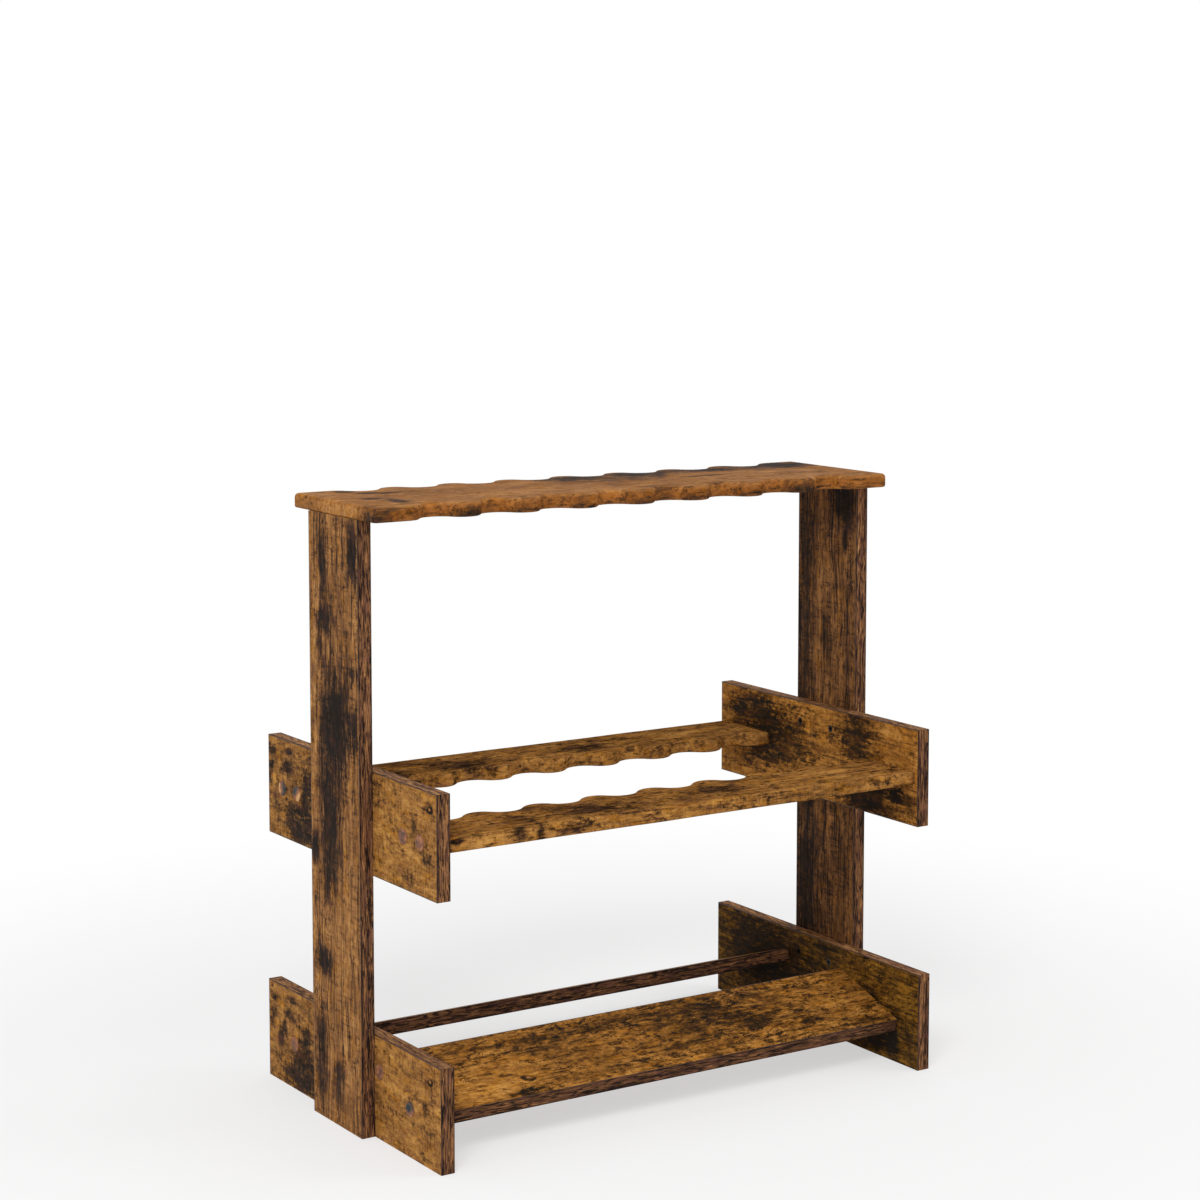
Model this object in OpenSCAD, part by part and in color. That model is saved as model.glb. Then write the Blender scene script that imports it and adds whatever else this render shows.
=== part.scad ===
// Free-standing wooden rack that holds a row of rods upright along its front and another along its back.
// X runs along the rack, Y from front to back and Z up. The origin is on the floor under the rack's middle.
// Each end is a frame: an upright with a foot board and a middle cross board screwed to its inner face.
// Two tilted shelves and two wavy rails join the end frames, and a top board with wavy edges closes the rack.

/* [Rack] */
// Number of rods held along each side
rods_per_side = 8; // [2:1:12]
// Distance from one rod to the next
rod_pitch = 70; // [50:1:100]
// Straight length left at each end of a row of rods
row_margin = 10; // [5:1:60]
// Height of the whole rack
rack_h = 643; // [520:1:900]
// Thickness of every board
board_t = 15; // [14:0.5:22]
// Thickness of the edging glued over the boards' cut edges
band_t = 1; // [0.4:0.1:2]

/* [End frames] */
// Width of an upright, front to back
upright_w = 106; // [90:1:125]
// Length of a foot board, front to back
foot_len = 375; // [340:1:480]
// Height of a foot board
foot_h = 106; // [95:1:130]
// Length of a middle cross board, front to back
middle_len = 364; // [330:1:470]
// Height of a middle cross board
middle_h = 106; // [90:1:130]
// Height of the middle cross boards' centre above the floor
middle_z = 321.5; // [220:0.5:420]

/* [Top board] */
// Width of the top board over the crests of its wavy edges
top_w = 176; // [150:1:220]
// Depth of a notch in the top board's edges
top_notch = 20; // [8:0.5:24]

/* [Middle rails] */
// Width of a middle rail over the crests of its wavy inner edge
rail_w = 90; // [80:1:100]
// Depth of a notch in a middle rail's inner edge
rail_notch = 16; // [6:0.5:20]
// Distance from the end of a middle cross board in to a rail's outer edge
rail_inset = 5; // [1:0.5:12]

/* [Bottom shelves] */
// Width of a bottom shelf
shelf_w = 108; // [90:1:118]
// Slope of a bottom shelf, lower on the outside, in degrees
shelf_tilt = 18.5; // [0:0.5:28]
// Height of a bottom shelf's centre above the floor
shelf_z = 58; // [48:0.5:68]
// Distance from the end of a foot board in to the outer edge of a shelf
shelf_inset = 38; // [10:1:50]

/* [Long screws] */
// Outer diameter of a long screw's thread
screw_d = 7; // [5:0.5:8]
// Length of a long screw
screw_len = 50; // [40:1:60]
// Diameter of a long screw's countersunk head
screw_head_d = 10; // [9:0.5:11]
// Distance from one thread turn of a long screw to the next
screw_thread = 3; // [2:0.5:4]
// Size across the flats of a long screw's hex socket
socket_af = 4; // [3:0.5:5]
// Depth of a long screw's hex socket
socket_depth = 3.5; // [2.5:0.5:6]
// Distance between the two screws in each end of a middle rail
rail_screw_spacing = 34; // [24:1:44]
// Distance from a shelf's outer edge in to its outer screw
shelf_screw_out = 25; // [12:0.5:30]
// Distance from an upright's edge out to a shelf's inner screw
shelf_screw_in = 10; // [9:0.5:16]

/* [Screw caps] */
// Diameter of the cap over a long screw's head
cap_d = 16; // [11:0.5:18]
// Thickness of the cap over a long screw's head
cap_t = 1; // [0.8:0.1:2]
// Length of the cap's stem inside the hex socket
cap_stem = 2; // [1:0.5:2.5]

/* [Short screws] */
// Outer diameter of the thread of a short screw, which holds a cross board to its upright
short_d = 4; // [3:0.5:5]
// Depth that a short screw reaches into the upright
short_bite = 10; // [6:0.5:12]
// Diameter of a short screw's countersunk head
short_head_d = 8; // [6.5:0.5:9]
// Distance from one thread turn of a short screw to the next
short_thread = 1.8; // [1.2:0.1:2.5]
// Distance between a cross board's short screws, front to back
short_spacing_y = 56; // [36:1:64]
// Distance between a cross board's short screws, up and down
short_spacing_z = 60; // [36:1:64]

/* [Dowels] */
// Diameter of a dowel between an upright and the top board
dowel_d = 8; // [6:0.5:10]
// Depth that a dowel reaches into the top board
dowel_up = 10; // [6:0.5:11]
// Depth that a dowel reaches into the upright
dowel_down = 20; // [12:1:30]
// Distance between the two dowels of an upright
dowel_spacing = 60; // [40:1:70]

/* [Fits] */
// Clearance around a screw or a dowel in its hole, on the radius
hole_clear = 0.1; // [0.05:0.05:0.3]
// Clearance past the end of a screw or a dowel in a blind hole
end_clear = 1; // [0.5:0.5:2]
// Open joint between two strips of edging that meet at a corner
band_joint = 0.1; // [0.05:0.05:0.5]

/* [Hidden] */

$fn = 96;
left = -1;
right = 1;
front = -1;
back = 1;
over = 1;                                   // how far a cut runs past the face it opens
crest_extra = 0.1;                          // a crest's arc is this much larger, so that the arcs cross
head_rim = 0.5;                             // straight rim of a countersunk head
screw_tip = 4;                              // length of a screw's point
tip_r = 0.4;                                // radius of a screw's blunt end
plain_shank = 0.6;                          // share of the board's thickness where a screw has no thread
thread_depth = 0.14;                        // depth of a thread as a share of its diameter
recess_w = 0.2;                             // width of a cross recess as a share of the head
recess_l = 0.6;                             // length of a cross recess as a share of the head
recess_depth = 0.25;                        // depth of a cross recess as a share of the head
dowel_chamfer = 1;                          // chamfer on both ends of a dowel
cap_chamfer = 0.4;                          // chamfer around a cap's face
stem_clear = 0.1;                           // clearance around a cap's stem in the hex socket

row_len = rods_per_side * rod_pitch;
rail_len = row_len + 2 * row_margin;
cross_in = rail_len / 2;                    // X of the cross boards' inner faces
cross_out = cross_in + board_t;             // X of the cross boards' outer and the uprights' inner faces
rack_w = 2 * (cross_out + board_t);
upright_x = cross_out + board_t / 2;
upright_h = rack_h - board_t;
cross_x = cross_in + board_t / 2;
foot_z = foot_h / 2;
rail_out = middle_len / 2 - rail_inset;     // Y of a rail's outer edge
rail_y = rail_out - rail_w / 2;
shelf_y = foot_len / 2 - shelf_inset - shelf_w / 2 * cos(shelf_tilt);
short_len = board_t + short_bite;

board_brown = [0.47, 0.31, 0.14];
upright_brown = [0.36, 0.24, 0.13];
edge_brown = [0.32, 0.20, 0.15];
top_orange = [0.62, 0.40, 0.20];
cap_mauve = [0.33, 0.21, 0.18];
steel = [0.70, 0.70, 0.68];
beech = [0.80, 0.65, 0.44];

// Radius of the arcs that make a wave of one notch for each rod
function wave_r(depth) = (rod_pitch * rod_pitch / 16 + depth * depth / 4) / depth;

// Places along the row: notches lie at the rods and crests between them
function notch_x(i) = (i - (rods_per_side - 1) / 2) * rod_pitch;
function crest_x(i) = (i - rods_per_side / 2) * rod_pitch;

// Board outline that is straight along y = 0 and wavy along y = width
module wavy_strip(len, width, depth) {
  r = wave_r(depth);
  crest_r = r + crest_extra;
  mid = width - depth / 2;
  end_len = (len - row_len) / 2;
  difference() {
    translate([-len / 2, 0]) square([len, mid]);
    for (i = [0 : rods_per_side - 1]) translate([notch_x(i), width - depth + r]) circle(r = r);
  }
  intersection() {
    translate([-len / 2, 0]) square([len, width + over]);
    for (i = [0 : rods_per_side]) translate([crest_x(i), width - crest_r]) circle(r = crest_r);
  }
  translate([-len / 2, 0]) square([end_len, width]);
  translate([len / 2 - end_len, 0]) square([end_len, width]);
}

// Outline of the top board, wavy along both long edges
module top_outline() {
  wavy_strip(rack_w, top_w / 2, top_notch);
  mirror([0, 1]) wavy_strip(rack_w, top_w / 2, top_notch);
}

// Places of the fasteners: each child starts at the outer face and runs into the wood along its own +Z
module at_rail_screws() {
  for (end = [left, right], side = [front, back], step = [-1, 1]) {
    translate([end * cross_out, side * (rail_y + step * rail_screw_spacing / 2), middle_z])
      rotate([0, -90 * end, 0]) children();
  }
}

// A shelf's screw lies this far out from the shelf's centre line, measured along its slope
function shelf_screw_at(step) = step > 0
  ? shelf_w / 2 - shelf_screw_out
  : (upright_w / 2 + shelf_screw_in - shelf_y) / cos(shelf_tilt);

module at_shelf_screws() {
  for (end = [left, right], side = [front, back], step = [-1, 1]) {
    out = shelf_screw_at(step);
    translate([end * cross_out, side * (shelf_y + out * cos(shelf_tilt)), shelf_z - out * sin(shelf_tilt)])
      rotate([0, -90 * end, 0]) children();
  }
}

module at_short_screws(board_z) {
  for (end = [left, right], y = [-1, 1], z = [-1, 1]) {
    translate([end * cross_in, y * short_spacing_y / 2, board_z + z * short_spacing_z / 2])
      rotate([0, 90 * end, 0]) children();
  }
}

module at_dowels() {
  for (end = [left, right], y = [-1, 1]) {
    translate([end * upright_x, y * dowel_spacing / 2, upright_h]) children();
  }
}

// Countersunk screw with its head at z = 0 and a thread of sharp turns up to its point
module screw(d, head_d, len, pitch) {
  r = d / 2;
  core_r = r - thread_depth * d;
  thread_z = board_t * plain_shank;
  turns = floor((len - screw_tip - thread_z) / pitch);
  turn = [for (i = [0 : turns - 1]) each [[core_r, thread_z + i * pitch], [r, thread_z + (i + 0.5) * pitch]]];
  head = [[0, 0], [head_d / 2, 0], [head_d / 2, head_rim], [r, head_rim + head_d / 2 - r], [r, thread_z]];
  point = [[core_r, thread_z + turns * pitch], [core_r, len - screw_tip], [tip_r, len], [0, len]];
  rotate_extrude() polygon(concat(head, turn, point));
}

// Hole for that screw, with its countersink
module screw_hole(d, head_d, len) {
  r = d / 2 + hole_clear;
  head_r = head_d / 2 + hole_clear;
  end = len + end_clear;
  rotate_extrude() polygon([
    [0, -over], [head_r, -over], [head_r, head_rim], [r, head_rim + head_r - r], [r, end], [0, end]
  ]);
}

module hex(af, depth) {
  cylinder(h = depth, d = af / cos(30), $fn = 6);
}

module long_screw() {
  difference() {
    screw(screw_d, screw_head_d, screw_len, screw_thread);
    translate([0, 0, -over]) hex(socket_af, socket_depth + over);
  }
}

module long_screw_hole() {
  screw_hole(screw_d, screw_head_d, screw_len);
}

module short_screw() {
  slot = [recess_w * short_head_d, recess_l * short_head_d, 2 * recess_depth * short_head_d];
  difference() {
    screw(short_d, short_head_d, short_len, short_thread);
    cube(slot, center = true);
    rotate([0, 0, 90]) cube(slot, center = true);
  }
}

module short_screw_hole() {
  screw_hole(short_d, short_head_d, short_len);
}

// Cap that covers a long screw's head, with a stem pressed into the hex socket
module screw_cap() {
  r = cap_d / 2;
  rotate_extrude()
    polygon([[0, -cap_t], [r - cap_chamfer, -cap_t], [r, cap_chamfer - cap_t], [r, 0], [0, 0]]);
  hex(socket_af - 2 * stem_clear, cap_stem);
}

module dowel() {
  r = dowel_d / 2;
  inner_r = r - dowel_chamfer;
  rotate_extrude() polygon([
    [0, -dowel_down], [inner_r, -dowel_down], [r, dowel_chamfer - dowel_down],
    [r, dowel_up - dowel_chamfer], [inner_r, dowel_up], [0, dowel_up]
  ]);
}

module dowel_hole() {
  translate([0, 0, -dowel_down - end_clear])
    cylinder(h = dowel_down + dowel_up + 2 * end_clear, r = dowel_d / 2 + hole_clear);
}

// Upright without its edging, drilled for the short screws of both cross boards and for the dowels
module upright(end) {
  difference() {
    translate([end * upright_x, 0, upright_h / 2])
      cube([board_t, upright_w - 2 * band_t, upright_h], center = true);
    at_short_screws(foot_z) short_screw_hole();
    at_short_screws(middle_z) short_screw_hole();
    at_dowels() dowel_hole();
  }
}

module upright_edging(end) {
  for (side = [front, back]) {
    translate([end * upright_x, side * (upright_w - band_t) / 2, upright_h / 2])
      cube([board_t, band_t, upright_h], center = true);
  }
}

// Foot board without its edging, which covers the front, the back and the top edge
module foot_board(end) {
  difference() {
    translate([end * cross_x, 0, (foot_h - band_t) / 2])
      cube([board_t, foot_len - 2 * band_t, foot_h - band_t], center = true);
    at_short_screws(foot_z) short_screw_hole();
    at_shelf_screws() long_screw_hole();
  }
}

module foot_edging(end) {
  top_len = foot_len - 2 * band_t - 2 * band_joint;
  translate([end * cross_x, 0, foot_h - band_t / 2]) cube([board_t, top_len, band_t], center = true);
  for (side = [front, back]) {
    translate([end * cross_x, side * (foot_len - band_t) / 2, foot_z])
      cube([board_t, band_t, foot_h], center = true);
  }
}

// Middle cross board without its edging, which goes all the way round
module middle_board(end) {
  difference() {
    translate([end * cross_x, 0, middle_z])
      cube([board_t, middle_len - 2 * band_t, middle_h - 2 * band_t], center = true);
    at_short_screws(middle_z) short_screw_hole();
    at_rail_screws() long_screw_hole();
  }
}

module middle_edging(end) {
  long_len = middle_len - 2 * band_t - 2 * band_joint;
  for (side = [-1, 1]) {
    translate([end * cross_x, 0, middle_z + side * (middle_h - band_t) / 2])
      cube([board_t, long_len, band_t], center = true);
    translate([end * cross_x, side * (middle_len - band_t) / 2, middle_z])
      cube([board_t, band_t, middle_h], center = true);
  }
}

// Middle rail with one notch for each rod in its inner edge
module middle_rail(side) {
  difference() {
    scale([1, -side, 1])
      translate([0, -rail_out, middle_z - board_t / 2])
        linear_extrude(board_t) wavy_strip(rail_len, rail_w, rail_notch);
    at_rail_screws() long_screw_hole();
  }
}

// Bottom shelf without its edging, which covers both long edges
module bottom_shelf(side) {
  difference() {
    at_shelf(side) cube([rail_len, shelf_w - 2 * band_t, board_t], center = true);
    at_shelf_screws() long_screw_hole();
  }
}

module shelf_edging(side) {
  for (step = [-1, 1]) {
    at_shelf(side) translate([0, step * (shelf_w - band_t) / 2, 0])
      cube([rail_len, band_t, board_t], center = true);
  }
}

module at_shelf(side) {
  translate([0, side * shelf_y, shelf_z]) rotate([-side * shelf_tilt, 0, 0]) children();
}

module left_upright() { color(upright_brown) upright(left); }
module right_upright() { color(upright_brown) upright(right); }
module left_upright_edging() { color(edge_brown) upright_edging(left); }
module right_upright_edging() { color(edge_brown) upright_edging(right); }
module left_foot_board() { color(board_brown) foot_board(left); }
module right_foot_board() { color(board_brown) foot_board(right); }
module left_foot_edging() { color(edge_brown) foot_edging(left); }
module right_foot_edging() { color(edge_brown) foot_edging(right); }
module left_middle_board() { color(board_brown) middle_board(left); }
module right_middle_board() { color(board_brown) middle_board(right); }
module left_middle_edging() { color(edge_brown) middle_edging(left); }
module right_middle_edging() { color(edge_brown) middle_edging(right); }
module front_middle_rail() { color(top_orange) middle_rail(front); }
module back_middle_rail() { color(top_orange) middle_rail(back); }
module front_bottom_shelf() { color(board_brown) bottom_shelf(front); }
module back_bottom_shelf() { color(board_brown) bottom_shelf(back); }
module front_shelf_edging() { color(edge_brown) shelf_edging(front); }
module back_shelf_edging() { color(edge_brown) shelf_edging(back); }
module rail_screws() { color(steel) at_rail_screws() long_screw(); }
module rail_screw_caps() { color(cap_mauve) at_rail_screws() screw_cap(); }
module shelf_screws() { color(steel) at_shelf_screws() long_screw(); }
module shelf_screw_caps() { color(cap_mauve) at_shelf_screws() screw_cap(); }
module foot_board_screws() { color(steel) at_short_screws(foot_z) short_screw(); }
module middle_board_screws() { color(steel) at_short_screws(middle_z) short_screw(); }
module top_board_dowels() { color(beech) at_dowels() dowel(); }

// Top board, lying on both uprights and held by the dowels
module top_board() {
  color(top_orange) difference() {
    translate([0, 0, upright_h]) linear_extrude(board_t) top_outline();
    at_dowels() dowel_hole();
  }
}

left_upright();
right_upright();
top_board();
left_foot_board();
right_foot_board();
left_middle_board();
right_middle_board();
front_middle_rail();
back_middle_rail();
front_bottom_shelf();
back_bottom_shelf();
left_upright_edging();
right_upright_edging();
left_foot_edging();
right_foot_edging();
left_middle_edging();
right_middle_edging();
front_shelf_edging();
back_shelf_edging();
rail_screws();
rail_screw_caps();
shelf_screws();
shelf_screw_caps();
foot_board_screws();
middle_board_screws();
top_board_dowels();
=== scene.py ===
import math

import bmesh
import bpy
from mathutils import Matrix, Vector


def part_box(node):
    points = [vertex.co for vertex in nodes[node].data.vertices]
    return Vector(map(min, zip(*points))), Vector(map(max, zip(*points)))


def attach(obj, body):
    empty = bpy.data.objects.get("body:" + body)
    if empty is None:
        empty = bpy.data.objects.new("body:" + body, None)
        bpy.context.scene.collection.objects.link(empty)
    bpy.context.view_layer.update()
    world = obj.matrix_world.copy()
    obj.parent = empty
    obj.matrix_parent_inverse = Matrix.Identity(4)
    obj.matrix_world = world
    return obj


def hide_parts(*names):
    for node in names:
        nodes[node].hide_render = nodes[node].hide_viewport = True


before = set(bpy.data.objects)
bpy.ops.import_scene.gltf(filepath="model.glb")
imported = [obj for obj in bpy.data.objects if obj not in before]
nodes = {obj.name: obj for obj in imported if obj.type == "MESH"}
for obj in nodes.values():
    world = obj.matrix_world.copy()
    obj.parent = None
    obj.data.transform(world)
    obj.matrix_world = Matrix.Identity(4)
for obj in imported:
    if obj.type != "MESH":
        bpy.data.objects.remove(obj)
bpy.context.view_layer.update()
mm = 0.001
front, back = -1, 1

# Turns that bring a board's own grain onto X, with its width on Y and its thickness on Z
grainUp = (0, math.radians(-90), 0)
grainDeep = (math.radians(90), 0, math.radians(90))
grainLong = (0, 0, 0)


# Small helpers for node trees

def feed(tree, socket, value):
    if isinstance(value, bpy.types.NodeSocket):
        tree.links.new(value, socket)
    elif isinstance(value, str):
        socket.default_value = paint(value)
    else:
        socket.default_value = value


def addNode(tree, kind, inputs, **settings):
    node = tree.nodes.new(kind)
    for name, value in settings.items():
        setattr(node, name, value)
    for name, value in inputs.items():
        feed(tree, node.inputs[name], value)
    return node


# sRGB code to linear colour
def paint(code):
    parts = [int(code[i:i + 2], 16) / 255 for i in (0, 2, 4)]
    return [c / 12.92 if c < 0.04045 else ((c + 0.055) / 1.055) ** 2.4 for c in parts] + [1]


def calc(tree, operation, a, b=0.0, c=0.0):
    return addNode(tree, "ShaderNodeMath", {0: a, 1: b, 2: c}, operation=operation).outputs[0]


def vectorCalc(tree, operation, a, b):
    return addNode(tree, "ShaderNodeVectorMath", {0: a, 1: b}, operation=operation).outputs[0]


def vectorLength(tree, vector):
    return addNode(tree, "ShaderNodeVectorMath", {0: vector}, operation="LENGTH").outputs["Value"]


def stretch(tree, vector, amounts):
    return vectorCalc(tree, "MULTIPLY", vector, amounts)


def spread(tree, value, low, high, newLow=0.0, newHigh=1.0, kind="LINEAR"):
    inputs = {"Value": value, "From Min": low, "From Max": high, "To Min": newLow, "To Max": newHigh}
    return addNode(tree, "ShaderNodeMapRange", inputs, interpolation_type=kind).outputs[0]


def noise(tree, vector, scale, detail=3.0, rough=0.55, warp=0.0):
    inputs = {"Vector": vector, "Scale": scale, "Detail": detail, "Roughness": rough, "Distortion": warp}
    return addNode(tree, "ShaderNodeTexNoise", inputs).outputs


# Noise drawn out along the grain, where only the given share of its scale is left
def grainNoise(tree, place, along, scale, detail, rough, warp=0.0):
    return noise(tree, stretch(tree, place, (along, 1, 1)), scale, detail, rough, warp)["Fac"]


# Moves a place by up to half of each amount, as a noise's colour says
def wander(tree, place, cloud, amounts):
    centred = vectorCalc(tree, "SUBTRACT", cloud, (0.5, 0.5, 0.5))
    return vectorCalc(tree, "ADD", place, stretch(tree, centred, amounts))


# A seed moves the place into another part of the pattern
def seedPlace(tree, given, alongStep, acrossStep, through):
    along = calc(tree, "MULTIPLY", given["Seed"], alongStep)
    across = calc(tree, "MULTIPLY", given["Seed"], acrossStep)
    shift = addNode(tree, "ShaderNodeCombineXYZ", {0: along, 1: across, 2: through}).outputs[0]
    return vectorCalc(tree, "ADD", given["Vector"], shift)


def splitColor(tree, color):
    return addNode(tree, "ShaderNodeSeparateColor", {0: color}).outputs


def blendColor(tree, factor, a, b, kind="MIX"):
    node = addNode(tree, "ShaderNodeMix", {}, data_type="RGBA", blend_type=kind)
    feed(tree, node.inputs[0], factor)
    feed(tree, node.inputs[6], a)
    feed(tree, node.inputs[7], b)
    return node.outputs[2]


def colorSteps(tree, factor, steps):
    node = addNode(tree, "ShaderNodeValToRGB", {"Fac": factor})
    ramp = node.color_ramp
    while len(ramp.elements) < len(steps):
        ramp.elements.new(0.5)
    for element, (place, code) in zip(ramp.elements, steps):
        element.position = place
        element.color = paint(code)
    return node.outputs[0]


def newGroup(name, inputs, outputs):
    tree = bpy.data.node_groups.new(name, "ShaderNodeTree")
    for label, value in inputs.items():
        kind = "NodeSocketVector" if isinstance(value, tuple) else "NodeSocketFloat"
        socket = tree.interface.new_socket(label, in_out="INPUT", socket_type=kind)
        socket.default_value = value
    for label, kind in outputs.items():
        tree.interface.new_socket(label, in_out="OUTPUT", socket_type="NodeSocket" + kind)
    return tree, tree.nodes.new("NodeGroupInput").outputs, tree.nodes.new("NodeGroupOutput").inputs


def useGroup(tree, group, inputs):
    node = tree.nodes.new("ShaderNodeGroup")
    node.node_tree = group
    for name, value in inputs.items():
        feed(tree, node.inputs[name], value)
    return node.outputs


# Shared effects, all in millimetres with the grain along X

# Tone of printed grain, its relief and its fine fibre
def makeGrain():
    inputs = {"Vector": (0, 0, 0), "Seed": 0.0, "Streaks": 0.3, "Clouds": 0.3, "Grit": 0.3, "Lines": 0.2,
              "Mottles": 0.2, "Cracks": 0.1, "Hatch": 0.1}
    outputs = {"Tone": "Float", "Fibre": "Float", "Dense": "Float", "Height": "Float"}
    tree, given, out = newGroup("grain", inputs, outputs)
    place = seedPlace(tree, given, 371.0, 173.0, given["Seed"])
    wave = noise(tree, stretch(tree, place, (0.5, 1, 1)), scale=0.02, detail=2.0)["Color"]
    place = wander(tree, place, wave, (0, 16, 6))
    streak = grainNoise(tree, place, along=0.05, scale=0.16, detail=4.0, rough=0.65)
    fibre = grainNoise(tree, place, along=0.06, scale=0.5, detail=3.0, rough=0.7)
    cloud = grainNoise(tree, place, along=0.45, scale=0.05, detail=6.0, rough=0.66, warp=0.4)
    grit = grainNoise(tree, place, along=0.5, scale=0.2, detail=5.0, rough=0.8)
    tone = 0.5
    for texture, amount in ((streak, "Streaks"), (cloud, "Clouds"), (grit, "Grit"), (fibre, "Streaks")):
        swing = calc(tree, "MULTIPLY_ADD", texture, 2.5, -1.25)
        tone = calc(tree, "MULTIPLY_ADD", swing, given[amount], tone)

    # Dark marks: soft mottles, long threads, short cracks and fine strokes across the grain
    mottle = grainNoise(tree, place, along=0.6, scale=0.12, detail=6.0, rough=0.75)
    mottle = spread(tree, mottle, 0.48, 0.64, -0.25, 0.75, kind="SMOOTHSTEP")
    thread = grainNoise(tree, place, along=0.035, scale=0.28, detail=4.0, rough=0.7)
    thread = spread(tree, thread, 0.53, 0.64, -0.15, 0.85, kind="SMOOTHSTEP")
    bed = grainNoise(tree, place, along=0.35, scale=0.1, detail=4.0, rough=0.75, warp=0.6)
    crack = spread(tree, calc(tree, "ABSOLUTE", calc(tree, "SUBTRACT", bed, 0.5)), 0.03, 0.008)
    crack = calc(tree, "MULTIPLY", crack, spread(tree, cloud, 0.48, 0.56))
    stroke = noise(tree, stretch(tree, place, (1, 0.12, 0.12)), scale=0.32, detail=3.0, rough=0.7)["Fac"]
    stroke = spread(tree, stroke, 0.5, 0.62, -0.1, 0.9)
    stroke = calc(tree, "MULTIPLY", stroke, spread(tree, bed, 0.42, 0.56))
    dense = spread(tree, cloud, 0.42, 0.6, 0.35, 1.5)
    mottle = calc(tree, "MULTIPLY", mottle, dense)
    for mark, amount in ((mottle, "Mottles"), (thread, "Lines"), (crack, "Cracks"), (stroke, "Hatch")):
        tone = calc(tree, "SUBTRACT", tone, calc(tree, "MULTIPLY", mark, given[amount]))
    relief = calc(tree, "SUBTRACT", fibre, calc(tree, "MAXIMUM", crack, thread))
    feed(tree, out["Tone"], tone)
    feed(tree, out["Fibre"], fibre)
    feed(tree, out["Dense"], dense)
    feed(tree, out["Height"], calc(tree, "MULTIPLY_ADD", grit, 0.5, relief))
    return tree


# Way from a centre, counted in sizes
def fromCentre(tree, given):
    way = vectorCalc(tree, "SUBTRACT", given["Vector"], given["Centre"])
    return vectorCalc(tree, "DIVIDE", way, given["Size"])


# One dark or light patch at a chosen place, ragged where the texture lets it
def makeSmear():
    inputs = {"Vector": (0, 0, 0), "Centre": (0, 0, 0), "Size": (1, 1, 1), "Texture": 0.5, "Rag": 1.0}
    tree, given, out = newGroup("smear", inputs, {"Mask": "Float"})
    length = vectorLength(tree, fromCentre(tree, given))
    body = calc(tree, "SUBTRACT", 1.0, length)
    torn = calc(tree, "MULTIPLY_ADD", calc(tree, "SUBTRACT", given["Texture"], 0.5), given["Rag"], body)
    halo = spread(tree, torn, -0.8, 0.5, 0.0, 0.5, kind="SMOOTHSTEP")
    core = spread(tree, torn, 0.0, 0.45, 0.0, 0.5, kind="SMOOTHSTEP")
    near = spread(tree, length, 2.2, 1.2)
    feed(tree, out["Mask"], calc(tree, "MULTIPLY", calc(tree, "ADD", halo, core), near))
    return tree


# Small knot: a dark ring, heavier on its lower side, round a warmer eye
def makeKnot():
    inputs = {"Vector": (0, 0, 0), "Centre": (0, 0, 0), "Size": (1, 1, 1)}
    tree, given, out = newGroup("knot", inputs, {"Ring": "Float", "Eye": "Float"})
    wave = noise(tree, given["Vector"], scale=0.25, detail=2.0, rough=0.6)["Color"]
    away = wander(tree, fromCentre(tree, given), wave, (0.25, 0.25, 0))
    length = vectorLength(tree, away)
    ring = spread(tree, calc(tree, "ABSOLUTE", calc(tree, "SUBTRACT", length, 0.8)), 0.6, 0.25)
    lean = addNode(tree, "ShaderNodeVectorMath", {0: away, 1: (-0.5, -0.8, 0)}, operation="DOT_PRODUCT")
    heavy = spread(tree, lean.outputs["Value"], -0.8, 0.2, 0.15, 1.0)
    feed(tree, out["Ring"], calc(tree, "MULTIPLY", ring, heavy))
    feed(tree, out["Eye"], spread(tree, length, 0.5, 0.2))
    return tree


# Small pores and short cracks along the grain
def makeSpecks():
    inputs = {"Vector": (0, 0, 0), "Seed": 0.0, "Size": 5.0, "Amount": 0.3}
    tree, given, out = newGroup("specks", inputs, {"Mask": "Float"})
    place = stretch(tree, seedPlace(tree, given, 97.0, 61.0, 0.0), (0.45, 1, 1))
    scale = calc(tree, "DIVIDE", 1.0, given["Size"])
    cell = addNode(tree, "ShaderNodeTexVoronoi", {"Vector": place, "Scale": scale}, feature="F1").outputs
    wobble = noise(tree, place, scale=0.5, detail=2.0)["Fac"]
    distance = calc(tree, "MULTIPLY_ADD", calc(tree, "SUBTRACT", wobble, 0.5), 0.5, cell["Distance"])
    pick = calc(tree, "LESS_THAN", splitColor(tree, cell["Color"])[0], given["Amount"])
    feed(tree, out["Mask"], calc(tree, "MULTIPLY", spread(tree, distance, 0.3, 0.12), pick))
    return tree


chipSteps = [(0.1, "6E5233"), (0.5, "A58255"), (0.9, "C9A877")]


# Raw particle board on the edges that have no edging
def makeChipboard():
    tree, given, out = newGroup("chipboard", {"Vector": (0, 0, 0)}, {"Color": "Color", "Height": "Float"})
    place = stretch(tree, given["Vector"], (0.5, 1, 1))
    chip = addNode(tree, "ShaderNodeTexVoronoi", {"Vector": place, "Scale": 0.6}, feature="F1").outputs
    shade = splitColor(tree, chip["Color"])[0]
    fine = noise(tree, given["Vector"], scale=1.5)["Fac"]
    tone = calc(tree, "MULTIPLY_ADD", fine, 0.5, calc(tree, "MULTIPLY", shade, 0.5))
    feed(tree, out["Color"], colorSteps(tree, tone, chipSteps))
    feed(tree, out["Height"], tone)
    return tree


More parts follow.
